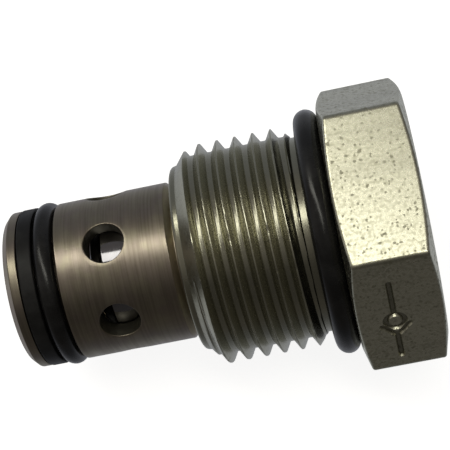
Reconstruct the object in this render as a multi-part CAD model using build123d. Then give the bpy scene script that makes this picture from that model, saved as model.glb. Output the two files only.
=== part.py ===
from build123d import *
import os
from math import ceil, cos, radians, tan

# A screw-in poppet check-valve cartridge. Millimetres. The valve lies along X, with its nose
# at -X and its hex head at +X, and two flats of the head face +Z and -Z. The origin is on the
# valve's axis, on the face under the head that seats on the manifold.

# Hex head
HEX_ACROSS_FLATS = 25.4
HEX_LENGTH = 8.4
HEX_CORNER_ROUND = 0.6      # the drawn bar's six corners
HEX_FACE_R = 12.2           # flat round face left inside the chamfer at either end
HEX_CHAMFER_DEG = 15

# Thread of the plug: 7/8 inch, 14 turns to the inch, right hand
THREAD_MAJOR_R = 11.05
THREAD_ROOT_R = 10.05
THREAD_PITCH = 25.4 / 14
THREAD_CREST_FLAT = 0.16
THREAD_FLANK_DEG = 30       # between a flank and the plane square to the axis
THREAD_CREST_X = -12.66     # where a crest passes straight below the axis
THREAD_FRONT_X = -14.65     # where the thread's front chamfer starts
THREAD_FRONT_CHAMFER = 1.4  # along X
THREAD_END_X = -3.1         # where the thread runs out into the seal relief
THREAD_END_CHAMFER = 0.95
RELIEF_R = 9.8

# Pilot in front of the thread, slightly tapered, with its front edge broken
PILOT_FRONT_X = -15.3
PILOT_FRONT_R = 9.25
PILOT_REAR_R = 9.4
PILOT_CHAMFER = 0.35

# Bores of the plug
CAGE_SOCKET_R = 7.35
CAGE_SOCKET_END_X = -8.0    # step that seats the cage and stops the open poppet
SPRING_BORE_R = 4.6
SPRING_BORE_END_X = 1.6
DRILL_POINT_DEG = 59        # half angle of the drilled end

# Cage
NOSE_X = -32.5
NOSE_LAND_R = 7.925
NOSE_CHAMFER_X = 0.6
NOSE_CHAMFER_R = 0.62
GROOVE_FRONT_X = -31.05
GROOVE_REAR_X = -27.2
GROOVE_R = 6.47
CAGE_SHOULDER_X = -16.2
CAGE_SHOULDER_CHAMFER = 0.6
GUIDE_R = 6.03
SEAT_X = -24.4
SEAT_R = 4.64
INLET_R = 5.0
INLET_END_X = -27.6
EDGE_BREAK = 0.25
CROSS_HOLE_R = 2.0
CROSS_HOLE_X = -22.3
CROSS_HOLES = 6
CROSS_HOLE_TURN_DEG = 8     # first hole, from +Z towards +Y

# Poppet
POPPET_R = 6.0
POPPET_EDGE_X = -23.0       # where the guided body meets the sealing cone
POPPET_NOSE_X = -25.6
POPPET_REAR_X = -10.52
POPPET_POCKET_R = 4.55
POPPET_POCKET_X = -21.4
VENT_R = 0.5
VENT_X = -20.75
VENT_TURN_DEG = 98

# Poppet spring
WIRE_D = 0.9
SPRING_MEAN_R = 3.75
SPRING_TURNS = 9

# Seals
BODY_RING_SECTION = 2.46
BODY_RING_OUTER_R = 12.3
NOSE_RING_HEIGHT = 1.76     # its section is a little flattened by the stretch over the land
NOSE_RING_WIDTH = 1.96
NOSE_RING_OUTER_R = 8.27
NOSE_RING_X = -28.42
BACKUP_FRONT_X = -30.95
BACKUP_WIDTH = 1.45
BACKUP_INNER_R = 6.5
BACKUP_OUTER_R = 7.98
SEAL_GAP = 0.02             # between a seal and the face that it rests on

# How far a construction solid reaches past the face that it cuts or joins
CUT_PAST = 1.0
THREAD_SINK = 0.3           # ridge into core
THREAD_COVER = 0.05         # trimming outline over the crests
END_OVERLAP = 0.01          # trimmed ridge into the relief


def turned(points):
    """Solid of revolution about X, from an outline of (x, r) points."""
    return revolve(make_face(Polyline(*points, close=True)), Axis.X)


def rod(radius, x_from, x_to):
    return turned([(x_from, 0), (x_to, 0), (x_to, radius), (x_from, radius)])


def body_o_ring():
    x = -BODY_RING_SECTION / 2 - SEAL_GAP
    section = Circle(BODY_RING_SECTION / 2)
    return revolve(Pos(x, BODY_RING_OUTER_R - BODY_RING_SECTION / 2) * section, Axis.X)


def nose_o_ring():
    section = Ellipse(NOSE_RING_WIDTH / 2, NOSE_RING_HEIGHT / 2)
    return revolve(Pos(NOSE_RING_X, NOSE_RING_OUTER_R - NOSE_RING_HEIGHT / 2) * section, Axis.X)


def radial_hole(radius, x, turn_deg, length):
    """Cutter from the axis outwards, turned from +Z towards +Y."""
    return Pos(x, 0, 0) * Rot(-turn_deg, 0, 0) * Cylinder(
        radius, length, align=(Align.CENTER, Align.CENTER, Align.MIN))


def hex_head():
    corner_r = HEX_ACROSS_FLATS / 2 / cos(radians(30))
    prism = extrude(Plane.YZ * RegularPolygon(corner_r, 6), HEX_LENGTH)
    prism = fillet(prism.edges().filter_by(Axis.X), HEX_CORNER_ROUND)
    beyond = corner_r + CUT_PAST
    drop = (beyond - HEX_FACE_R) * tan(radians(HEX_CHAMFER_DEG))
    envelope = turned([
        (0, 0), (HEX_LENGTH, 0), (HEX_LENGTH, HEX_FACE_R), (HEX_LENGTH - drop, beyond),
        (drop, beyond), (0, HEX_FACE_R)])
    return prism & envelope


def thread_ridge():
    """Helical ridge, run past both ends of the thread and trimmed by the plug's own outline."""
    lead_in = ceil((THREAD_CREST_X - THREAD_FRONT_X) / THREAD_PITCH)
    start_x = THREAD_CREST_X - lead_in * THREAD_PITCH
    turns = ceil((THREAD_END_X - start_x) / THREAD_PITCH)
    inner_r = THREAD_ROOT_R - THREAD_SINK
    half_base = THREAD_CREST_FLAT / 2
    half_base += (THREAD_MAJOR_R - inner_r) * tan(radians(THREAD_FLANK_DEG))
    tooth = make_face(Polyline(
        (inner_r, -half_base), (THREAD_MAJOR_R, -THREAD_CREST_FLAT / 2),
        (THREAD_MAJOR_R, THREAD_CREST_FLAT / 2), (inner_r, half_base), close=True))
    path = Helix(THREAD_PITCH, turns * THREAD_PITCH, THREAD_ROOT_R)
    ridge = sweep(Plane.XZ * tooth, path, is_frenet=True)
    return Pos(start_x, 0, 0) * Rot(0, 90, 0) * ridge


def thread():
    end_x = THREAD_END_X + END_OVERLAP
    cover_r = THREAD_MAJOR_R + THREAD_COVER
    outline = turned([
        (THREAD_FRONT_X, 0), (end_x, 0), (end_x, THREAD_ROOT_R),
        (end_x - THREAD_END_CHAMFER, cover_r), (THREAD_FRONT_X + THREAD_FRONT_CHAMFER, cover_r),
        (THREAD_FRONT_X, PILOT_REAR_R)])
    slope = THREAD_FRONT_CHAMFER / (cover_r - PILOT_REAR_R)
    root_x = THREAD_FRONT_X + (THREAD_ROOT_R - PILOT_REAR_R) * slope
    core = turned([
        (PILOT_FRONT_X, 0), (THREAD_END_X, 0), (THREAD_END_X, THREAD_ROOT_R),
        (root_x, THREAD_ROOT_R), (THREAD_FRONT_X, PILOT_REAR_R),
        (PILOT_FRONT_X + PILOT_CHAMFER, PILOT_FRONT_R),
        (PILOT_FRONT_X, PILOT_FRONT_R - PILOT_CHAMFER)])
    return core + (thread_ridge() & outline)


def plug_body():
    relief = rod(RELIEF_R, THREAD_END_X, 0)
    socket = rod(CAGE_SOCKET_R, PILOT_FRONT_X - CUT_PAST, CAGE_SOCKET_END_X)
    point = SPRING_BORE_R / tan(radians(DRILL_POINT_DEG))
    bore_start_x = CAGE_SOCKET_END_X - CUT_PAST
    spring_bore = turned([
        (bore_start_x, 0), (SPRING_BORE_END_X + point, 0), (SPRING_BORE_END_X, SPRING_BORE_R),
        (bore_start_x, SPRING_BORE_R)])
    return hex_head() + relief + thread() - socket - spring_bore


def cage():
    body = turned([
        (NOSE_X, INLET_R + EDGE_BREAK), (NOSE_X, NOSE_LAND_R - NOSE_CHAMFER_R),
        (NOSE_X + NOSE_CHAMFER_X, NOSE_LAND_R), (GROOVE_FRONT_X, NOSE_LAND_R),
        (GROOVE_FRONT_X, GROOVE_R), (GROOVE_REAR_X, GROOVE_R), (GROOVE_REAR_X, NOSE_LAND_R),
        (CAGE_SHOULDER_X, NOSE_LAND_R), (CAGE_SHOULDER_X + CAGE_SHOULDER_CHAMFER, CAGE_SOCKET_R),
        (CAGE_SOCKET_END_X, CAGE_SOCKET_R), (CAGE_SOCKET_END_X, GUIDE_R), (SEAT_X, GUIDE_R),
        (SEAT_X, SEAT_R), (INLET_END_X + INLET_R - SEAT_R, SEAT_R), (INLET_END_X, INLET_R),
        (NOSE_X + EDGE_BREAK, INLET_R)])
    for hole in range(CROSS_HOLES):
        turn = CROSS_HOLE_TURN_DEG + hole * 360 / CROSS_HOLES
        body -= radial_hole(CROSS_HOLE_R, CROSS_HOLE_X, turn, NOSE_LAND_R + CUT_PAST)
    return body


def poppet():
    tip_r = POPPET_R - (POPPET_EDGE_X - POPPET_NOSE_X)
    body = turned([
        (POPPET_NOSE_X, 0), (POPPET_NOSE_X, tip_r), (POPPET_EDGE_X, POPPET_R),
        (POPPET_REAR_X, POPPET_R), (POPPET_REAR_X, POPPET_POCKET_R),
        (POPPET_POCKET_X, POPPET_POCKET_R), (POPPET_POCKET_X, 0)])
    for turn in (VENT_TURN_DEG, VENT_TURN_DEG + 180):
        body -= radial_hole(VENT_R, VENT_X, turn, POPPET_R + CUT_PAST)
    return body


def poppet_spring():
    """Open coil with its two ends ground flat, between the poppet's pocket and the plug."""
    front = POPPET_POCKET_X + SEAL_GAP
    length = SPRING_BORE_END_X - front
    pitch = length / SPRING_TURNS
    path = Helix(pitch, length, SPRING_MEAN_R)
    start = path @ 0
    coil = sweep(Plane(start, z_dir=path % 0) * Circle(WIRE_D / 2), path, is_frenet=True)
    coil = Pos(front, 0, 0) * Rot(0, 90, 0) * coil
    return coil & rod(SPRING_MEAN_R + WIRE_D, front, SPRING_BORE_END_X)


def nose_backup_ring():
    rear_x = BACKUP_FRONT_X + BACKUP_WIDTH
    return turned([
        (BACKUP_FRONT_X, BACKUP_INNER_R), (rear_x, BACKUP_INNER_R),
        (rear_x, BACKUP_OUTER_R), (BACKUP_FRONT_X, BACKUP_OUTER_R)])


def pieces():
    return {
        "plug_body": plug_body(),
        "cage": cage(),
        "poppet": poppet(),
        "poppet_spring": poppet_spring(),
        "body_o_ring": body_o_ring(),
        "nose_o_ring": nose_o_ring(),
        "nose_backup_ring": nose_backup_ring(),
    }


os.makedirs("parts", exist_ok=True)
for name, solid in pieces().items():
    export_step(solid, f"parts/{name}.step")
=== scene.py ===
"""Looks of a screw-in check-valve cartridge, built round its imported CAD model.

Outlines are in millimetres in the row frame: the valve lies along X, with its nose at -X and its
hex head at +X, and r is the distance from that axis. Angles run round the axis from +Z towards +Y.
"""
from math import atan, atan2, ceil, cos, pi, radians, sin, sqrt, tan

import bmesh
import bpy
from mathutils import Matrix, Vector, noise


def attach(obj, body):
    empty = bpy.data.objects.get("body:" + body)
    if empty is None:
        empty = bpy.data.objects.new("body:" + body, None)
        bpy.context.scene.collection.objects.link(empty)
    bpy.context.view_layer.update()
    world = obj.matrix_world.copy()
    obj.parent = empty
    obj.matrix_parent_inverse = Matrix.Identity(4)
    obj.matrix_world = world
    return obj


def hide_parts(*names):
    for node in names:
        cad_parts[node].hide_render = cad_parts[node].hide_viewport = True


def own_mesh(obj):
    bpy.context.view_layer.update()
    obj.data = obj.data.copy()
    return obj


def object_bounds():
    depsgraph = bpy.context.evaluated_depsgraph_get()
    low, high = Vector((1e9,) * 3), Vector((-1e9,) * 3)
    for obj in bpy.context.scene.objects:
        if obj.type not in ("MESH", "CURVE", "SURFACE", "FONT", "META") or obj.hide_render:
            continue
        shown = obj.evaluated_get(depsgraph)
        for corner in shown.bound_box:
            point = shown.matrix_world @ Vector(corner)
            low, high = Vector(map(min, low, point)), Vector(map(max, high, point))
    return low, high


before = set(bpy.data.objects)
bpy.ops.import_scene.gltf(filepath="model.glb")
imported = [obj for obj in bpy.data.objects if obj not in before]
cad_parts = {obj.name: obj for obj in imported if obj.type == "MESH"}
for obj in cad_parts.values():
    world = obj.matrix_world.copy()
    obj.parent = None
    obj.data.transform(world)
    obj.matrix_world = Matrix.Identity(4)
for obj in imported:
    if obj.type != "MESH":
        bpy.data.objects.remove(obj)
cad_bounds = [list(corner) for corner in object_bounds()]

MM = 0.001
MERGE_MM = 0.0015           # points of a skin closer than this are one
SECTORS = 6                 # flats round the head, and equal parts round a drilled sleeve

# Plug
HEX_HALF_FLATS = 12.7
HEX_LENGTH = 8.4
HEX_CORNER_ROUND = 0.6
HEX_FACE_R, HEX_CHAMFER = 12.2, radians(15)
RELIEF_R = 9.8
THREAD_MAJOR_R, THREAD_ROOT_R = 11.05, 10.05
THREAD_PITCH = 25.4 / 14
THREAD_CREST_FLAT, THREAD_FLANK = 0.14, radians(30)
THREAD_CREST_X = -12.66
THREAD_END_X, THREAD_END_R, THREAD_END_CHAMFER = -3.1, 9.95, 0.95
THREAD_FRONT_X, THREAD_FRONT_CHAMFER = -14.65, 1.4
THREAD_COVER = 0.05
PILOT_FRONT_X, PILOT_FRONT_R, PILOT_REAR_R = -15.3, 9.25, 9.4
SOCKET_R, SOCKET_END_X = 7.35, -8.0
SPRING_BORE_R, SPRING_BORE_END_X, SPRING_BORE_POINT = 4.6, 1.6, 2.76

# Cage
NOSE_X, LAND_R = -32.5, 7.925
NOSE_CHAMFER_X, NOSE_CHAMFER_R = 0.6, 0.62
GROOVE_FRONT_X, GROOVE_REAR_X, GROOVE_R = -31.05, -27.2, 6.47
CAGE_SHOULDER_X, CAGE_SHOULDER_CHAMFER = -16.2, 0.6
GUIDE_R, SEAT_X, SEAT_R = 6.03, -24.4, 4.64
INLET_R, INLET_END_X, INLET_CHAMFER = 5.0, -27.6, 0.25
CROSS_HOLE_R, CROSS_HOLE_X, CROSS_HOLE_TURN = 2.0, -22.3, radians(8)

# Poppet
POPPET_R, POPPET_EDGE_X, POPPET_NOSE_X, POPPET_REAR_X = 6.0, -23.0, -25.6, -10.52
POCKET_R, POCKET_X = 4.55, -21.4
VENT_R, VENT_X, VENT_TURN = 0.5, -20.75, radians(98)

# Spring
WIRE_R, SPRING_MEAN_R = 0.45, 3.75
SPRING_FRONT_X, SPRING_REAR_X = -21.38, 1.6

# Seals: for each O-ring the x of its middle, its outer radius, and its section's width and height
BODY_RING = (-1.25, 12.3, 2.46, 2.46)
NOSE_RING = (-28.42, 8.27, 1.96, 1.76)
BACKUP_FRONT_X, BACKUP_REAR_X, BACKUP_INNER_R, BACKUP_OUTER_R = -30.95, -29.5, 6.5, 7.98

# Stamped mark, on the flat that faces MARK_TURN from +Z towards +Y
MARK_TURN = radians(-60)
MARK_X, MARK_SHIFT = 3.6, -0.6
MARK_DEPTH, MARK_RISE = 0.24, 0.1           # below the flat, and how far its cutters stand over it
STROKE_TOP, STROKE_BOTTOM = 0.3, 0.15       # half widths at the flat and at the bottom
STROKE_RIM = STROKE_TOP + (STROKE_TOP - STROKE_BOTTOM) * MARK_RISE / MARK_DEPTH     # MARK_RISE up

# Colours, linear
ZINC, ZINC_DRAWN, ZINC_DIE_MARK = (0.82, 0.81, 0.65), (0.75, 0.74, 0.59), (0.5, 0.49, 0.4)
ZINC_TURNED, ZINC_THREAD = (0.45, 0.44, 0.35), (0.47, 0.46, 0.36)
# The third colour is painted shade, for the thread's roots and the stamp's strokes.
FLECK, PIT, RECESS_SHADE = (0.3, 0.285, 0.18), (0.2, 0.185, 0.11), (0.08, 0.075, 0.05)
OXIDE_OLIVE, OXIDE_BROWN = (0.43, 0.388, 0.295), (0.4, 0.343, 0.287)
# The second colour is painted shade, for the bore round the cross holes.
OXIDE_LINE, HOLE_WALL_SHADE = (0.2, 0.17, 0.125), (0.25, 0.24, 0.19)
GROUND_STEEL, GROUND_STEEL_DARK = (0.32, 0.315, 0.335), (0.26, 0.255, 0.275)
WIRE_PALE, WIRE_DARK = (0.46, 0.45, 0.43), (0.3, 0.29, 0.28)
RUBBER, BACKUP_PLASTIC = (0.011, 0.011, 0.0112), (0.016, 0.016, 0.016)

# Studio, in metres
KEY_DIRECTION, KEY_DISTANCE, KEY_SKEW = (-0.18, 0.26, 0.97), 0.5, radians(-38)
KEY_SIZE, KEY_POWER, KEY_COLOR = (0.7, 0.11), 0.66, (1.0, 0.985, 0.88)
FLOOR_GLOW, BACKDROP_GLOW = 0.86, 0.9
STAGE_REACH, BACKDROP_R = 4.0, 3.6

# Brightness of the room round the valve's axis: degrees from +Z towards +Y, and grey level
ROOM = [
    (-180, 0.35), (-155, 0.22), (-135, 0.1), (-110, 0.07), (-75, 0.045), (-45, 0.055), (-25, 0.14),
    (10, 0.22), (38, 0.15), (70, 0.15), (95, 0.17), (120, 0.26), (150, 0.41), (180, 0.35)]
# Its change towards the nose and the head: from one X of the direction to another, and its share
# of the brightness at each
NOSE_END = (-0.9, -0.4, 1.4, 1.0)
HEAD_END = (0.45, 0.95, 1.0, 0.6)
ROOM_WARM, ROOM_COOL = (1.0, 0.93, 0.85), (1.0, 1.03, 1.12)
COOL_ABOVE, COOL_BELOW = 60, -130           # degrees

# Camera: where it looks from and at, and how the picture is turned
CAMERA_AZIMUTH, CAMERA_ELEVATION, CAMERA_ROLL = radians(19.83), radians(72.68), radians(30.25)
CAMERA_AIM, CAMERA_DISTANCE = (-0.01124, 0.00268, 0.0), 0.1446
CAMERA_LENS_MM, CAMERA_SENSOR_MM = 114.94, 36.0


# ---------------------------------------------------------------- outlines and skins

ARC_STEPS = 4
CORNER_POINTS = ARC_STEPS + 3               # an arc's points and its two support points


def rounded(corners, steps=ARC_STEPS, support=0.05, closed=False):
    """Points of an outline through (x, r, radius) corners, each radius made an arc of equal steps.

    A support point each side of an arc keeps the shading of the faces beside it flat.
    """
    points = []
    count = len(corners)
    for i, (x, r, radius) in enumerate(corners):
        corner = Vector((x, r))
        if radius == 0:
            points.append(corner)
            continue
        back = (Vector(corners[(i - 1) % count][:2]) - corner).normalized()
        ahead = (Vector(corners[(i + 1) % count][:2]) - corner).normalized()
        half = back.angle(ahead) / 2
        reach = radius / tan(half)
        centre = corner + (back + ahead).normalized() * (radius / sin(half))
        first = corner + back * reach - centre
        last = corner + ahead * reach - centre
        turn = first.angle(last)
        points.append(corner + back * (reach + support))
        for step in range(steps + 1):
            share = step / steps
            arm = first * sin((1 - share) * turn) + last * sin(share * turn)
            points.append(centre + arm / sin(turn))
        points.append(corner + ahead * (reach + support))
    if closed:
        points.append(points[0].copy())
    return points


def divided(points, longest):
    """The same outline with every run longer than longest cut into equal shorter ones."""
    out = [points[0]]
    for a, b in zip(points, points[1:]):
        cuts = max(1, ceil((b - a).length / longest - 1e-6))
        out += [a.lerp(b, k / cuts) for k in range(1, cuts + 1)]
    return out


def at(x, r, angle):
    """Point of the row frame, in millimetres."""
    return Vector((x, r * sin(angle), r * cos(angle)))


class Skin:
    """Grids of points that meet edge to edge, joined into one closed mesh."""

    def __init__(self):
        self.points, self.faces = [], []

    def grid(self, rows):
        start, width = len(self.points), len(rows[0])
        for row in rows:
            self.points += row
        for i in range(len(rows) - 1):
            for j in range(width - 1):
                a = start + i * width + j
                self.faces.append((a, a + 1, a + width + 1, a + width))

    def turned(self, outline, angles):
        self.grid([[at(p.x, p.y, angle) for p in outline] for angle in angles])

    def mesh(self, name):
        data = bpy.data.meshes.new(name)
        data.from_pydata([p * MM for p in self.points], [], self.faces)
        cleaned = bmesh.new()
        cleaned.from_mesh(data)
        bmesh.ops.remove_doubles(cleaned, verts=cleaned.verts, dist=MERGE_MM * MM)
        bmesh.ops.dissolve_degenerate(cleaned, edges=cleaned.edges, dist=1e-8)
        bmesh.ops.recalc_face_normals(cleaned, faces=cleaned.faces)
        for face in cleaned.faces:
            face.smooth = True
        cleaned.to_mesh(data)
        cleaned.free()
        return data


def even_angles(start, count):
    return [start + 2 * pi * k / count for k in range(count + 1)]


def piece(name, data, body, material, node):
    """A finished piece that stands for one CAD node."""
    made = bpy.data.objects.new(name, data)
    bpy.context.scene.collection.objects.link(made)
    data.materials.append(material)
    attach(made, body)
    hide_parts(node)
    return made


# ---------------------------------------------------------------- plug

# Where the corner rounds are centred, between two flats, and the half angle that a flat spans
CORNER_CENTRE_R = (HEX_HALF_FLATS - HEX_CORNER_ROUND) / cos(pi / SECTORS)
FLAT_HALF_ANGLE = atan(CORNER_CENTRE_R * sin(pi / SECTORS) / HEX_HALF_FLATS)


def hex_angles():
    """Columns round the head: even across each flat, close together round each corner."""
    support = radians(0.2)
    flat_steps, corner_steps = 36, 8
    angles = []
    for flat in range(SECTORS):
        middle = pi + flat * 2 * pi / SECTORS
        angles.append(middle - FLAT_HALF_ANGLE)
        for k in range(flat_steps + 1):
            angles.append(middle - (FLAT_HALF_ANGLE - support) * (1 - 2 * k / flat_steps))
        corner = middle + pi / SECTORS
        corner_half = pi / SECTORS - FLAT_HALF_ANGLE
        for k in range(corner_steps):
            angles.append(corner - corner_half * (1 - 2 * k / corner_steps))
    return angles + [angles[0] + 2 * pi]


def hex_radius(angle):
    """Distance from the axis to the head's side, with its corners rounded."""
    half = pi / SECTORS
    off_flat = (angle + half) % (2 * half) - half
    if abs(off_flat) <= FLAT_HALF_ANGLE + 1e-9:
        return HEX_HALF_FLATS / cos(off_flat)
    off_corner = half - abs(off_flat)
    sideways = CORNER_CENTRE_R * sin(off_corner)
    outwards = sqrt(max(0, HEX_CORNER_ROUND ** 2 - sideways ** 2))
    return CORNER_CENTRE_R * cos(off_corner) + outwards


def head_outline(angle):
    """From the middle of the end face to the thread, with as many points at every angle."""
    side_r = hex_radius(angle)
    drop = (side_r - HEX_FACE_R) * tan(HEX_CHAMFER)
    corners = [
        (HEX_LENGTH, 0, 0), (HEX_LENGTH, HEX_FACE_R, 0.2), (HEX_LENGTH - drop, side_r, 0.3),
        (drop, side_r, 0.3), (0, HEX_FACE_R, 0.2), (0, RELIEF_R, 0.15),
        (THREAD_END_X, RELIEF_R, 0)]
    outline = rounded(corners)
    straight_cuts = (5, 2, 7, 1, 2, 3)
    out = [outline[0]]
    for i, (a, b) in enumerate(zip(outline, outline[1:])):
        cuts = straight_cuts[i // CORNER_POINTS] if i % CORNER_POINTS == 0 else 1
        out += [a.lerp(b, k / cuts) for k in range(1, cuts + 1)]
    return out


def thread_tooth():
    """One pitch of the thread, from root to root, as (x, r) with the crest at x = 0."""
    half = THREAD_PITCH / 2
    crest = THREAD_CREST_FLAT / 2
    foot = crest + (THREAD_MAJOR_R - THREAD_ROOT_R) * tan(THREAD_FLANK)
    root_round, crest_round = 0.22, 0.06
    corners = [
        (half, THREAD_ROOT_R, 0), (foot, THREAD_ROOT_R, root_round),
        (crest, THREAD_MAJOR_R, crest_round), (-crest, THREAD_MAJOR_R, crest_round),
        (-foot, THREAD_ROOT_R, root_round), (-half, THREAD_ROOT_R, 0)]
    return divided(rounded(corners, steps=3, support=0.02), 0.17)[:-1]


# Dents along the crests: cycles a millimetre, shift of the pattern, value where they start, depth
DENTS = [(0.9, (0, 0, 0), 0.25, 0.16), (2.3, (7, 3, 1), 0.3, 0.1)]
DENT_PATTERN_R = 11


def worn(x, r, angle):
    """The radius r, less a few small dents in the upper half of the thread."""
    height = (r - THREAD_ROOT_R) / (THREAD_MAJOR_R - THREAD_ROOT_R)
    if height <= 0.5:
        return r
    place = at(x, DENT_PATTERN_R, angle)
    dent = 0
    for cycles, shift, start, depth in DENTS:
        dent += max(0, noise.noise(place * cycles + Vector(shift)) - start) * depth
    return r - dent * (height - 0.5) * 2


def thread_outline(angle, tooth):
    """From the relief to the plug's front chamfer, cut to the chamfers at both ends."""
    cover_r = THREAD_MAJOR_R + THREAD_COVER
    front_slope = (cover_r - PILOT_REAR_R) / THREAD_FRONT_CHAMFER
    end_slope = (cover_r - THREAD_ROOT_R) / THREAD_END_CHAMFER
    share = (angle - pi) / (2 * pi)
    # right hand: a crest moves towards the nose as the angle grows
    crest_x = THREAD_CREST_X - share * THREAD_PITCH
    first = ceil((THREAD_END_X - THREAD_CREST_X) / THREAD_PITCH) + 1
    last = ceil((THREAD_CREST_X - THREAD_FRONT_X) / THREAD_PITCH) + 1
    points = []
    for turn in range(first, -last - 1, -1):
        for p in tooth:
            x = min(max(crest_x + turn * THREAD_PITCH + p.x, THREAD_FRONT_X), THREAD_END_X)
            front_r = PILOT_REAR_R + (x - THREAD_FRONT_X) * front_slope
            end_r = THREAD_END_R + (THREAD_END_X - x) * end_slope
            r = min(worn(x, p.y, angle), front_r, end_r)
            points.append(Vector((x, r)))
    return points


def bore_outline():
    """From the thread's front, round the pilot's front edge and up the bores to the drilled end."""
    corners = [
        (THREAD_FRONT_X, PILOT_REAR_R, 0), (PILOT_FRONT_X, PILOT_FRONT_R, 0.35),
        (PILOT_FRONT_X, SOCKET_R, 0.12), (SOCKET_END_X, SOCKET_R, 0.06),
        (SOCKET_END_X, SPRING_BORE_R, 0.12), (SPRING_BORE_END_X, SPRING_BORE_R, 0.1),
        (SPRING_BORE_END_X + SPRING_BORE_POINT, 0, 0)]
    return divided(rounded(corners), 2.0)


def plug_mesh():
    skin = Skin()
    tooth = thread_tooth()
    bore = bore_outline()
    columns = []
    for angle in hex_angles():
        outline = head_outline(angle) + thread_outline(angle, tooth) + bore
        columns.append([at(p.x, p.y, angle) for p in outline])
    skin.grid(columns)
    return skin.mesh("plug_body_skin")


# ---------------------------------------------------------------- stamped mark

def on_flat(along, across, height):
    """A point over the stamped flat: along it round the axis, across it towards the nose."""
    out = Vector((0, sin(MARK_TURN), cos(MARK_TURN)))
    tangent = Vector((0, cos(MARK_TURN), -sin(MARK_TURN)))
    place = out * (HEX_HALF_FLATS + height) + tangent * (MARK_SHIFT + along)
    return place + Vector((MARK_X - across, 0, 0))


def capsule(a, b, width, height):
    """Outline round the stroke from a to b, width on either side of it."""
    a, b = Vector(a), Vector(b)
    heading = atan2(b.y - a.y, b.x - a.x)
    steps = 8
    ends = []
    for centre, start in ((a, heading + pi / 2), (b, heading - pi / 2)):
        for k in range(steps + 1):
            turn = start + pi * k / steps
            spot = centre + Vector((cos(turn), sin(turn))) * width
            ends.append(on_flat(spot.x, spot.y, height))
    return ends


def closed_mesh(name, loops):
    """Closed mesh through loops of equal length, capped at its two ends."""
    count = len(loops[0])
    points = [p * MM for loop in loops for p in loop]
    faces = [tuple(range(count))[::-1], tuple(range(len(points) - count, len(points)))]
    for i in range(len(loops) - 1):
        for j in range(count):
            a, b = i * count + j, i * count + (j + 1) % count
            faces.append((a, b, b + count, a + count))
    data = bpy.data.meshes.new(name)
    data.from_pydata(points, [], faces)
    return tidy_normals(data)


def tidy_normals(data):
    fixed = bmesh.new()
    fixed.from_mesh(data)
    bmesh.ops.recalc_face_normals(fixed, faces=fixed.faces)
    fixed.to_mesh(data)
    fixed.free()
    return data


def stroke(a, b):
    return closed_mesh("stroke", [
        capsule(a, b, STROKE_BOTTOM, -MARK_DEPTH), capsule(a, b, STROKE_RIM, MARK_RISE)])


def ring_stroke(middle, radius):
    section = [
        (-STROKE_BOTTOM, -MARK_DEPTH), (STROKE_BOTTOM, -MARK_DEPTH), (STROKE_RIM, MARK_RISE),
        (-STROKE_RIM, MARK_RISE)]
    count, sides = 40, len(section)
    points, faces = [], []
    for k in range(count):
        turn = 2 * pi * k / count
        for off, height in section:
            reach = radius + off
            spot = on_flat(middle + reach * cos(turn), reach * sin(turn), height)
            points.append(spot * MM)
        start, following = k * sides, (k + 1) % count * sides
        for j in range(sides):
            after = (j + 1) % sides
            faces.append((start + j, start + after, following + after, following + j))
    data = bpy.data.meshes.new("ring_stroke")
    data.from_pydata(points, [], faces)
    return tidy_normals(data)


def stamp(target):
    """Cuts a plain check-valve symbol into one flat: a line, a V seat, a ball and a line."""
    strokes = [
        stroke((-5, 0), (-2.1, 0)), stroke((-0.7, 1.3), (-2.05, 0)),
        stroke((-0.7, -1.3), (-2.05, 0)), ring_stroke(-0.1, 0.9), stroke((0.95, 0), (5, 0))]
    for data in strokes:
        cutter = bpy.data.objects.new("cutter", data)
        bpy.context.scene.collection.objects.link(cutter)
        cut = target.modifiers.new("cut", "BOOLEAN")
        cut.operation, cut.solver, cut.object = "DIFFERENCE", "EXACT", cutter
        bpy.context.view_layer.update()
        result = bpy.data.meshes.new_from_object(
            target.evaluated_get(bpy.context.evaluated_depsgraph_get()))
        target.modifiers.clear()
        target.data = result
        bpy.data.objects.remove(cutter)
    sharpen(target.data)
    paint_recess_shade(target.data)


def sharpen(data):
    """Edges with a hard turn stay sharp under smooth shading."""
    hard = radians(24)
    sharpened = bmesh.new()
    sharpened.from_mesh(data)
    for edge in sharpened.edges:
        edge.smooth = not (len(edge.link_faces) == 2 and edge.calc_face_angle(0) > hard)
    sharpened.to_mesh(data)
    sharpened.free()


def paint_recess_shade(data):
    """Marks the points of the thread, and how deep each lies in it or in a stroke of the stamp:
    painted shade.
    """
    out = Vector((0, sin(MARK_TURN), cos(MARK_TURN)))
    thread_share, margin = 0.4, 0.02
    thread_rear_x, thread_wall_r = -0.05, SOCKET_R + 0.5
    side_front_x, side_rear_x, side_wall_r = 1, 7, SPRING_BORE_R + 2
    recess_shade = data.attributes.new("recess_shade", "FLOAT", "POINT")
    thread = data.attributes.new("thread", "FLOAT", "POINT")
    for vertex, deep, cut in zip(data.vertices, recess_shade.data, thread.data):
        place = vertex.co / MM
        r = sqrt(place.y ** 2 + place.z ** 2)
        if PILOT_FRONT_X <= place.x < thread_rear_x and r > thread_wall_r:
            cut.value = 1
            share = (THREAD_MAJOR_R - r) / (THREAD_MAJOR_R - THREAD_ROOT_R)
            deep.value = thread_share * min(1, max(0, share))
        depth = HEX_HALF_FLATS - place.dot(out)
        on_side = side_front_x < place.x < side_rear_x and r > side_wall_r
        if on_side and margin < depth < MARK_DEPTH + margin:
            deep.value = depth / MARK_DEPTH


# ---------------------------------------------------------------- drilled sleeves

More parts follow.
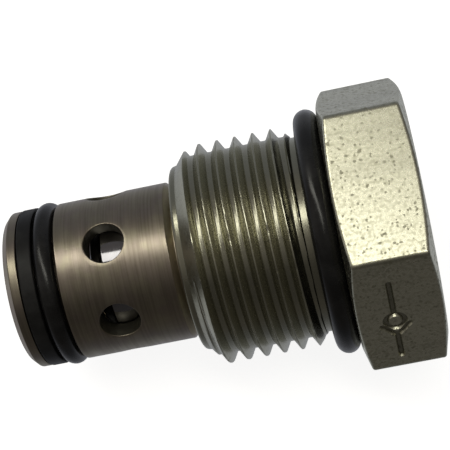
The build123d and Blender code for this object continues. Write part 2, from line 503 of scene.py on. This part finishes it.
class Drilling:
    """A band of a sleeve, in six sectors, with a radial hole through some of them.

    outer and inner are the band's two walls, each as its radius and the x of its two ends.
    """

    def __init__(self, hole_r, hole_x, start, drilled, outer, inner, edge_round=0.12):
        self.hole_r, self.hole_x, self.start, self.drilled = hole_r, hole_x, start, drilled
        self.outer, self.inner, self.edge_round = outer, inner, edge_round
        self.columns, self.rows, self.rings = 32, 14, 6

    def angles(self):
        return even_angles(self.start - pi / SECTORS, self.columns * SECTORS)

    def border(self, r, low_x, high_x):
        """Points round a sector's edge, as (sideways, x) from the hole's middle."""
        half = pi / SECTORS
        sides = [r * sin(-half + 2 * half * k / self.columns) for k in range(self.columns + 1)]
        levels = [low_x + (high_x - low_x) * k / self.rows for k in range(self.rows + 1)]
        levels = [level - self.hole_x for level in levels]
        out = [(side, levels[0]) for side in sides[:-1]]
        out += [(sides[-1], level) for level in levels[:-1]]
        out += [(side, levels[-1]) for side in sides[:0:-1]]
        out += [(sides[0], level) for level in levels[:0:-1]]
        return [Vector(p) for p in out + out[:1]]

    def lifted(self, spot, r, turn):
        """(sideways, x) on the cylinder of radius r, turned into the row frame."""
        up = sqrt(r * r - spot.x * spot.x)
        return Vector((
            self.hole_x + spot.y, spot.x * cos(turn) + up * sin(turn),
            up * cos(turn) - spot.x * sin(turn)))

    def add(self, skin):
        outer_edge = self.border(*self.outer)
        inner_edge = self.border(*self.inner)
        bearings = [atan2(p.y, p.x) for p in outer_edge]
        for sector in range(SECTORS):
            turn = self.start + sector * 2 * pi / SECTORS
            if sector in self.drilled:
                self.add_hole(skin, turn, outer_edge, inner_edge, bearings)
            else:
                self.add_plain(skin, turn)

    def add_plain(self, skin, turn):
        half = pi / SECTORS
        for r, low_x, high_x in (self.outer, self.inner):
            rows = []
            for k in range(self.columns + 1):
                angle = turn - half + 2 * half * k / self.columns
                rows.append([
                    at(low_x + (high_x - low_x) * j / self.rows, r, angle)
                    for j in range(self.rows + 1)])
            skin.grid(rows)

    def add_hole(self, skin, turn, outer_edge, inner_edge, bearings):
        lip_steps = 4
        columns = []
        for edge_out, edge_in, bearing in zip(outer_edge, inner_edge, bearings):
            way = Vector((cos(bearing), sin(bearing)))
            column = []
            for edge, (r, _, _), inward in ((edge_out, self.outer, 1), (edge_in, self.inner, -1)):
                lip = way * (self.hole_r + self.edge_round)
                part = [
                    self.lifted(edge.lerp(lip, k / self.rings), r, turn) for k in range(self.rings)]
                for k in range(lip_steps + 1):
                    bend = pi / 2 * (1 - k / lip_steps)
                    reach = self.hole_r + self.edge_round * (1 - cos(bend))
                    depth = self.edge_round * (1 - sin(bend)) * inward
                    part.append(self.lifted(way * reach, r - depth, turn))
                column += part if inward == 1 else part[::-1]
            columns.append(column)
        skin.grid(columns)


def cage_mesh():
    low_x, top_x = -25.4, -19.2             # ends of the drilled band
    drilling = Drilling(
        CROSS_HOLE_R, CROSS_HOLE_X, CROSS_HOLE_TURN, range(SECTORS),
        (LAND_R, low_x, top_x), (GUIDE_R, SEAT_X, top_x))
    skin = Skin()
    drilling.add(skin)
    rear = rounded([
        (top_x, LAND_R, 0), (CAGE_SHOULDER_X, LAND_R, 0.1),
        (CAGE_SHOULDER_X + CAGE_SHOULDER_CHAMFER, SOCKET_R, 0.1), (SOCKET_END_X, SOCKET_R, 0.1),
        (SOCKET_END_X, GUIDE_R, 0.12), (top_x, GUIDE_R, 0)])
    front = rounded([
        (SEAT_X, GUIDE_R, 0), (SEAT_X, SEAT_R, 0.03),
        (INLET_END_X + INLET_R - SEAT_R, SEAT_R, 0.05), (INLET_END_X, INLET_R, 0.05),
        (NOSE_X + INLET_CHAMFER, INLET_R, 0.05), (NOSE_X, INLET_R + INLET_CHAMFER, 0.08),
        (NOSE_X, LAND_R - NOSE_CHAMFER_R, 0.2), (NOSE_X + NOSE_CHAMFER_X, LAND_R, 0.2),
        (GROOVE_FRONT_X, LAND_R, 0.08), (GROOVE_FRONT_X, GROOVE_R, 0.15),
        (GROOVE_REAR_X, GROOVE_R, 0.15), (GROOVE_REAR_X, LAND_R, 0.08), (low_x, LAND_R, 0)],
        support=0.03)
    for outline in (rear, front):
        skin.turned(divided(outline, 0.8), drilling.angles())
    return skin.mesh("cage_skin")


def poppet_mesh():
    low_x, top_x = -21.36, -20.0            # ends of the band with the two vents
    drilling = Drilling(
        VENT_R, VENT_X, VENT_TURN, (0, 3),
        (POPPET_R, low_x, top_x), (POCKET_R, low_x, top_x), edge_round=0.05)
    skin = Skin()
    drilling.add(skin)
    tip_r = POPPET_R - (POPPET_EDGE_X - POPPET_NOSE_X)
    front = rounded([
        (low_x, POCKET_R, 0), (POCKET_X, POCKET_R, 0), (POCKET_X, 0, 0)], steps=2)
    nose = rounded([
        (POPPET_NOSE_X, 0, 0), (POPPET_NOSE_X, tip_r, 0.12), (POPPET_EDGE_X, POPPET_R, 0.05),
        (low_x, POPPET_R, 0)], support=0.03)
    rear = rounded([
        (top_x, POPPET_R, 0), (POPPET_REAR_X, POPPET_R, 0.15), (POPPET_REAR_X, POCKET_R, 0.15),
        (top_x, POCKET_R, 0)])
    for outline in (front, nose, rear):
        skin.turned(divided(outline, 0.9), drilling.angles())
    return skin.mesh("poppet_skin")


# ---------------------------------------------------------------- spring and seals

def spring_mesh():
    """Coil with a closed, ground turn at each end and an even pitch between."""
    closed_turns, open_turns, per_turn, round_wire = 1, 8, 64, 20
    turns = open_turns + 2 * closed_turns
    rise_turns = 0.25                       # over which a closed turn opens out
    tight = 2 * WIRE_R * 1.03               # pitch of a closed turn
    first_x = SPRING_FRONT_X + WIRE_R * 0.6  # the ends are ground to less than half the wire
    last_x = SPRING_REAR_X - WIRE_R * 0.6
    pitch = (last_x - first_x - 2 * closed_turns * tight) / open_turns
    x, xs = 0.0, [0.0]
    for k in range(turns * per_turn):
        done = (k + 0.5) / per_turn
        from_end = min(done, turns - done) - closed_turns
        blend = min(max(from_end / rise_turns + 0.5, 0), 1)
        x += (tight + (pitch - tight) * blend) / per_turn
        xs.append(x)
    scale = (last_x - first_x) / x
    loops = []
    for k, along in enumerate(xs):
        angle = 2 * pi * k / per_turn
        centre_x = first_x + along * scale
        loop = []
        for j in range(round_wire):
            bend = 2 * pi * j / round_wire
            px = centre_x + WIRE_R * sin(bend)
            px = min(max(px, SPRING_FRONT_X), SPRING_REAR_X)
            loop.append(at(px, SPRING_MEAN_R + WIRE_R * cos(bend), -angle))
        loops.append(loop)
    data = closed_mesh("poppet_spring_skin", loops)
    for face in data.polygons:
        face.use_smooth = len(face.vertices) == 4
    return data


def o_ring_mesh(name, x, outer_r, width, height, seed):
    """Moulded ring, a little uneven, with the fine flash line of its mould on both edges."""
    middle_r = outer_r - height / 2
    around, section = 240, 48
    wander, thinning, below_flash = 0.03, 0.012, 0.988
    columns = []
    for angle in even_angles(0, around)[:-1]:
        sway = Vector((cos(angle), sin(angle), seed))
        shift = noise.noise(sway * 1.3) * wander
        swell = 1 - abs(noise.noise(sway * 2.1 + Vector((5, 5, 5)))) * thinning
        column = []
        for k in range(section):
            bend = 2 * pi * k / section
            reach = swell * (1.0 if k in (0, section // 2) else below_flash)
            place_x = x + shift + reach * width / 2 * sin(bend)
            column.append(at(place_x, middle_r + reach * height / 2 * cos(bend), angle))
        columns.append(column + column[:1])
    skin = Skin()
    skin.grid(columns + columns[:1])
    return skin.mesh(name)


def backup_mesh():
    outline = rounded([
        (BACKUP_FRONT_X, BACKUP_INNER_R, 0.12), (BACKUP_REAR_X, BACKUP_INNER_R, 0.12),
        (BACKUP_REAR_X, BACKUP_OUTER_R, 0.14), (BACKUP_FRONT_X, BACKUP_OUTER_R, 0.14)],
        closed=True)
    skin = Skin()
    skin.turned(divided(outline, 0.6), even_angles(0, 200))
    return skin.mesh("nose_backup_ring_skin")


# ---------------------------------------------------------------- materials

class Nodes:
    """Short names for the shader nodes that the materials share."""

    def __init__(self, name, color, metallic, roughness):
        self.material = bpy.data.materials.new(name)
        self.material.use_nodes = True
        self.tree = self.material.node_tree
        self.shader = self.tree.nodes["Principled BSDF"]
        self.shader.inputs["Base Color"].default_value = (*color, 1)
        self.shader.inputs["Metallic"].default_value = metallic
        self.shader.inputs["Roughness"].default_value = roughness
        self.place = self.node("ShaderNodeTexCoord").outputs["Object"]

    def node(self, kind, **values):
        made = self.tree.nodes.new(kind)
        for key, value in values.items():
            setattr(made, key, value)
        return made

    def link(self, source, target):
        self.tree.links.new(source, target)

    def fill(self, socket, value):
        if isinstance(value, bpy.types.NodeSocket):
            self.link(value, socket)
        else:
            socket.default_value = value

    def math(self, operation, a, b=0.0):
        made = self.node("ShaderNodeMath", operation=operation)
        self.fill(made.inputs[0], a)
        self.fill(made.inputs[1], b)
        return made.outputs[0]

    def scaled(self, x, y, z):
        made = self.node("ShaderNodeVectorMath", operation="MULTIPLY")
        self.link(self.place, made.inputs[0])
        made.inputs[1].default_value = (x, y, z)
        return made.outputs[0]

    def noise(self, scale, detail=3.0, rough=0.5, place=None):
        """Noise of scale cycles a millimetre, from 0 to 1."""
        made = self.node("ShaderNodeTexNoise")
        self.link(place or self.place, made.inputs["Vector"])
        made.inputs["Scale"].default_value = scale / MM
        made.inputs["Detail"].default_value = detail
        made.inputs["Roughness"].default_value = rough
        return made.outputs["Fac"]

    def spots(self, scale, size, share):
        """Ragged round spots in a share of the cells of a pattern with scale cells a millimetre.

        size is a spot's radius, with a cell as the unit.
        """
        cells = self.node("ShaderNodeTexVoronoi")
        self.link(self.place, cells.inputs["Vector"])
        cells.inputs["Scale"].default_value = scale / MM
        ragged = self.math("SUBTRACT", self.noise(scale * 2.2, 1.0), 0.5)
        ragged = self.math("MULTIPLY", ragged, size * 1.9)
        inside = self.between(
            self.math("ADD", cells.outputs["Distance"], ragged), size * 0.55, size, 1.0, 0.0)
        lot = self.parts(cells.outputs["Color"])["X"]
        return self.math("MULTIPLY", inside, self.math("LESS_THAN", lot, share))

    def between(self, value, low, high, to_low=0.0, to_high=1.0):
        """Smooth step from to_low at low to to_high at high."""
        made = self.node("ShaderNodeMapRange", interpolation_type="SMOOTHSTEP")
        self.fill(made.inputs["Value"], value)
        ends = (("From Min", low), ("From Max", high), ("To Min", to_low), ("To Max", to_high))
        for key, number in ends:
            made.inputs[key].default_value = number
        return made.outputs["Result"]

    def mix(self, share, a, b):
        made = self.node("ShaderNodeMix", data_type="RGBA")
        self.fill(made.inputs["Factor"], share)
        for socket, value in ((made.inputs[6], a), (made.inputs[7], b)):
            self.fill(socket, value if isinstance(value, bpy.types.NodeSocket) else (*value, 1))
        return made.outputs[2]

    def bump(self, height, distance, strength):
        """Surface relief of height, distance millimetres deep."""
        made = self.node("ShaderNodeBump")
        made.inputs["Strength"].default_value = strength
        made.inputs["Distance"].default_value = distance * MM
        self.link(height, made.inputs["Height"])
        return made.outputs["Normal"]

    def parts(self, vector):
        made = self.node("ShaderNodeSeparateXYZ")
        self.link(vector, made.inputs[0])
        return made.outputs

    def radius(self):
        """Distance from the valve's axis, in millimetres."""
        _, y, z = self.parts(self.place)
        squares = self.math("ADD", self.math("MULTIPLY", y, y), self.math("MULTIPLY", z, z))
        return self.math("MULTIPLY", self.math("SQRT", squares), 1 / MM)

    def along(self):
        """Place along the valve's axis, in millimetres."""
        return self.math("MULTIPLY", self.parts(self.place)["X"], 1 / MM)

    def attribute(self, name):
        made = self.node("ShaderNodeAttribute", attribute_name=name)
        return made.outputs["Fac"]

    def turning(self, across):
        """Fine lathe lines round the axis: noise that changes fast along X and with radius."""
        both = self.node("ShaderNodeCombineXYZ")
        self.link(self.math("MULTIPLY", self.along(), across), both.inputs[0])
        self.link(self.math("MULTIPLY", self.radius(), across), both.inputs[1])
        sway = 0.12 / MM                    # slow change round the axis, so that no line is endless
        total = self.node("ShaderNodeVectorMath", operation="ADD")
        self.link(both.outputs[0], total.inputs[0])
        self.link(self.scaled(sway, sway, sway), total.inputs[1])
        return self.noise(MM, 4.0, place=total.outputs[0])

    def finish(self, color, roughness, normal):
        for key, value in (("Base Color", color), ("Roughness", roughness), ("Normal", normal)):
            self.link(value, self.shader.inputs[key])
        return self.material


def zinc_material():
    """Zinc plate: pale, faintly yellow, duller on the thread, with flecks, pits, drawn lines and
    painted shade in recesses.
    """
    n = Nodes("zinc_plate", ZINC, 1.0, 0.3)
    thread = n.attribute("thread")
    smooth = n.between(thread, 0.0, 1.0, 1.0, 0.15)
    drawn = n.noise(1.0, 3.0, 0.6, place=n.scaled(0.1, 4.0, 4.0))
    color = n.mix(n.between(drawn, 0.3, 0.7), ZINC, ZINC_DRAWN)
    die_marks = n.noise(1.0, 2.0, 0.5, place=n.scaled(0.02, 0.45, 0.45))
    color = n.mix(n.between(die_marks, 0.45, 0.65, 0.0, 0.3), color, ZINC_DIE_MARK)
    end_face = n.math("GREATER_THAN", n.along(), HEX_LENGTH - 0.02)
    rings = n.between(n.turning(3.0), 0.35, 0.65, 0.0, 0.5)
    color = n.mix(n.math("MULTIPLY", rings, end_face), color, ZINC_TURNED)
    color = n.mix(n.math("MULTIPLY", thread, 0.75), color, ZINC_THREAD)
    fine = n.noise(3.0, 1.0, 0.5)
    uneven = n.math("MULTIPLY", n.math("SUBTRACT", n.noise(0.25, 2.0), 0.5), 0.12)
    flecks = n.between(n.math("ADD", fine, uneven), 0.44, 0.7, 0.0, 0.36)
    color = n.mix(n.math("MULTIPLY", flecks, smooth), color, FLECK)
    pits = n.math("MAXIMUM", n.spots(1.5, 0.3, 0.4), n.spots(2.6, 0.34, 0.4))
    pits = n.math("MULTIPLY", n.math("MULTIPLY", pits, 0.44), smooth)
    color = n.mix(pits, color, PIT)
    # Painted shade: darker the deeper a point lies in the thread or in a stamped stroke.
    color = n.mix(n.math("MULTIPLY", n.attribute("recess_shade"), 0.6), color, RECESS_SHADE)
    roughness = n.math("ADD", n.between(fine, 0.3, 0.7, 0.26, 0.31), n.math("MULTIPLY", pits, 0.5))
    roughness = n.math("SUBTRACT", roughness, n.math("MULTIPLY", thread, 0.05))
    n.link(n.between(thread, 0.0, 1.0, 1.0, 0.97), n.shader.inputs["Metallic"])
    return n.finish(color, roughness, n.bump(n.math("SUBTRACT", drawn, pits), 0.005, 0.4))


def cage_material():
    """Hardened steel as it came off the lathe, bronze-brown, with fine lines round it and painted
    shade in its holes.
    """
    n = Nodes("turned_steel", OXIDE_BROWN, 1.0, 0.3)
    lines = n.turning(5.5)
    bands = n.turning(1.3)
    tint = n.noise(0.45, 4.0, 0.6)
    color = n.mix(n.between(tint, 0.38, 0.62), OXIDE_OLIVE, OXIDE_BROWN)
    color = n.mix(n.between(lines, 0.35, 0.75, 0.0, 0.42), color, OXIDE_LINE)
    # Inside the bore near the cross holes: rougher, and darker as painted shade in the holes.
    bored = n.math("LESS_THAN", n.radius(), LAND_R - 0.08)
    off_holes = n.math("ABSOLUTE", n.math("SUBTRACT", n.along(), CROSS_HOLE_X))
    drilled = n.math("MULTIPLY", bored, n.math("LESS_THAN", off_holes, CROSS_HOLE_R + 0.4))
    color = n.mix(drilled, color, HOLE_WALL_SHADE)
    roughness = n.between(bands, 0.3, 0.7, 0.28, 0.36)
    roughness = n.math("ADD", roughness, n.math("MULTIPLY", drilled, 0.15))
    return n.finish(color, roughness, n.bump(lines, 0.008, 0.5))


def poppet_material():
    """Ground and polished steel, with very fine lines round it."""
    n = Nodes("ground_steel", GROUND_STEEL, 1.0, 0.1)
    lines = n.turning(16.0)
    roughness = n.between(lines, 0.3, 0.7, 0.05, 0.12)
    color = n.mix(n.between(n.noise(0.5), 0.3, 0.7), GROUND_STEEL, GROUND_STEEL_DARK)
    return n.finish(color, roughness, n.bump(lines, 0.0006, 0.3))


def wire_material():
    n = Nodes("spring_wire", WIRE_PALE, 1.0, 0.35)
    streaks = n.noise(1.5, 4.0, 0.6)
    color = n.mix(n.between(streaks, 0.3, 0.7), WIRE_PALE, WIRE_DARK)
    roughness = n.between(n.noise(4.0), 0.3, 0.7, 0.26, 0.42)
    return n.finish(color, roughness, n.bump(streaks, 0.01, 0.4))


def seal_material(name, color, roughness, specular, scale):
    """Black moulded polymer with an oily bloom and fine grain."""
    n = Nodes(name, color, 0.0, roughness)
    n.shader.inputs["Specular IOR Level"].default_value = specular
    bloom = n.noise(0.35, 4.0, 0.6)
    grain = n.noise(scale, 4.0, 0.6)
    pale = tuple(c * 2.2 + 0.006 for c in color)
    shade = n.mix(n.between(bloom, 0.4, 0.75, 0.0, 0.8), color, pale)
    rough = n.between(bloom, 0.3, 0.7, roughness - 0.06, roughness + 0.12)
    return n.finish(shade, rough, n.bump(grain, 0.01, 0.35))


# ---------------------------------------------------------------- pieces

def build_pieces():
    rubber = seal_material("nitrile_rubber", RUBBER, 0.2, 0.5, 6.0)
    plastic = seal_material("backup_polymer", BACKUP_PLASTIC, 0.42, 0.3, 4.0)
    plug = piece("hex_plug", plug_mesh(), "valve", zinc_material(), "plug_body")
    stamp(plug)
    piece("nose_cage", cage_mesh(), "valve", cage_material(), "cage")
    piece("sealing_poppet", poppet_mesh(), "poppet", poppet_material(), "poppet")
    spring = piece("bias_spring", spring_mesh(), "valve", wire_material(), "poppet_spring")
    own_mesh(spring)
    head_ring = o_ring_mesh("head_o_ring_skin", *BODY_RING, 1.0)
    piece("head_o_ring", head_ring, "valve", rubber, "body_o_ring")
    nose_ring = o_ring_mesh("nose_seal_skin", *NOSE_RING, 4.0)
    piece("nose_seal", nose_ring, "valve", rubber, "nose_o_ring")
    piece("nose_backup", backup_mesh(), "valve", plastic, "nose_backup_ring")


# ---------------------------------------------------------------- studio

def stage_object(name, data, material):
    made = bpy.data.objects.new(name, data)
    bpy.context.scene.collection.objects.link(made)
    data.materials.append(material)
    made.visible_glossy = False
    made.visible_diffuse = False
    return made


def pale_material(name, glow):
    made = bpy.data.materials.new(name)
    made.use_nodes = True
    shader = made.node_tree.nodes["Principled BSDF"]
    shader.inputs["Base Color"].default_value = (0.85, 0.85, 0.85, 1)
    shader.inputs["Roughness"].default_value = 0.9
    shader.inputs["Specular IOR Level"].default_value = 0.0
    shader.inputs["Emission Color"].default_value = (1, 1, 1, 1)
    shader.inputs["Emission Strength"].default_value = glow
    return made


def build_stage(floor_z):
    """Floor under the valve and a shell round it: the camera sees them, reflections do not."""
    data = bpy.data.meshes.new("floor")
    corners = [(-1, -1), (1, -1), (1, 1), (-1, 1)]
    data.from_pydata(
        [(x * STAGE_REACH, y * STAGE_REACH, floor_z) for x, y in corners], [], [(0, 1, 2, 3)])
    stage_object("floor", data, pale_material("floor_paper", FLOOR_GLOW))
    shell = bmesh.new()
    bmesh.ops.create_uvsphere(shell, u_segments=48, v_segments=24, radius=BACKDROP_R)
    data = bpy.data.meshes.new("backdrop")
    shell.to_mesh(data)
    shell.free()
    backdrop = stage_object("backdrop", data, pale_material("backdrop_paper", BACKDROP_GLOW))
    backdrop.visible_shadow = False


def build_key():
    """Long softbox over the valve and facing it, with its long side at KEY_SKEW to X."""
    lamp = bpy.data.lights.new("key_softbox", "AREA")
    lamp.shape = "RECTANGLE"
    lamp.size, lamp.size_y = KEY_SIZE
    lamp.energy = KEY_POWER
    lamp.color = KEY_COLOR
    made = bpy.data.objects.new("key_softbox", lamp)
    bpy.context.scene.collection.objects.link(made)
    away = Vector(KEY_DIRECTION).normalized()
    short_side = away.cross(Vector((cos(KEY_SKEW), sin(KEY_SKEW), 0))).normalized()
    long_side = short_side.cross(away)
    made.location = away * KEY_DISTANCE
    made.rotation_euler = Matrix((long_side, short_side, away)).transposed().to_euler()


def build_room():
    """A dim room, lighter behind the valve and where a pale bench would reflect in it."""
    world = bpy.data.worlds.new("room")
    bpy.context.scene.world = world
    world.use_nodes = True
    tree = world.node_tree
    place = tree.nodes.new("ShaderNodeTexCoord")
    parts = tree.nodes.new("ShaderNodeSeparateXYZ")
    tree.links.new(place.outputs["Generated"], parts.inputs[0])
    turn = tree.nodes.new("ShaderNodeMath")
    turn.operation = "ARCTAN2"
    tree.links.new(parts.outputs["Y"], turn.inputs[0])
    tree.links.new(parts.outputs["Z"], turn.inputs[1])
    round_axis = tree.nodes.new("ShaderNodeMapRange")
    round_axis.inputs["From Min"].default_value = -pi
    round_axis.inputs["From Max"].default_value = pi
    tree.links.new(turn.outputs[0], round_axis.inputs["Value"])
    ramp = tree.nodes.new("ShaderNodeValToRGB")
    tree.links.new(round_axis.outputs["Result"], ramp.inputs["Fac"])
    stops = ramp.color_ramp.elements
    stops.remove(stops[0])
    for k, (degrees, level) in enumerate(ROOM):
        stop = stops[0] if k == 0 else stops.new(degrees / 360 + 0.5)
        stop.position = degrees / 360 + 0.5
        tint = ROOM_COOL if degrees > COOL_ABOVE or degrees < COOL_BELOW else ROOM_WARM
        stop.color = (*(level * share for share in tint), 1)
    strength = tree.nodes.new("ShaderNodeMath")
    strength.operation = "MULTIPLY"
    for socket, (low, high, start, end) in zip(strength.inputs, (NOSE_END, HEAD_END)):
        change = tree.nodes.new("ShaderNodeMapRange")
        change.interpolation_type = "SMOOTHSTEP"
        ends = (("From Min", low), ("From Max", high), ("To Min", start), ("To Max", end))
        for key, value in ends:
            change.inputs[key].default_value = value
        tree.links.new(parts.outputs["X"], change.inputs["Value"])
        tree.links.new(change.outputs["Result"], socket)
    background = tree.nodes["Background"]
    tree.links.new(ramp.outputs["Color"], background.inputs["Color"])
    tree.links.new(strength.outputs[0], background.inputs["Strength"])


def build_camera():
    """Above the valve on its -Y side, turned so that the valve leans across the picture."""
    flat = cos(CAMERA_ELEVATION)
    back = Vector((sin(CAMERA_AZIMUTH) * flat, -cos(CAMERA_AZIMUTH) * flat, sin(CAMERA_ELEVATION)))
    camera = bpy.data.cameras.new("camera")
    camera.sensor_width = CAMERA_SENSOR_MM
    camera.lens = CAMERA_LENS_MM
    camera.clip_start, camera.clip_end = 0.01, 20.0
    made = bpy.data.objects.new("camera", camera)
    bpy.context.scene.collection.objects.link(made)
    made.location = Vector(CAMERA_AIM) + back * CAMERA_DISTANCE
    level = back.to_track_quat("Z", "Y").to_matrix().to_4x4()
    made.rotation_euler = (level @ Matrix.Rotation(-CAMERA_ROLL, 4, "Z")).to_euler()
    bpy.context.scene.camera = made


build_pieces()
build_stage(cad_bounds[0][2])
build_key()
build_room()
build_camera()
bpy.context.scene.view_settings.view_transform = "Standard"
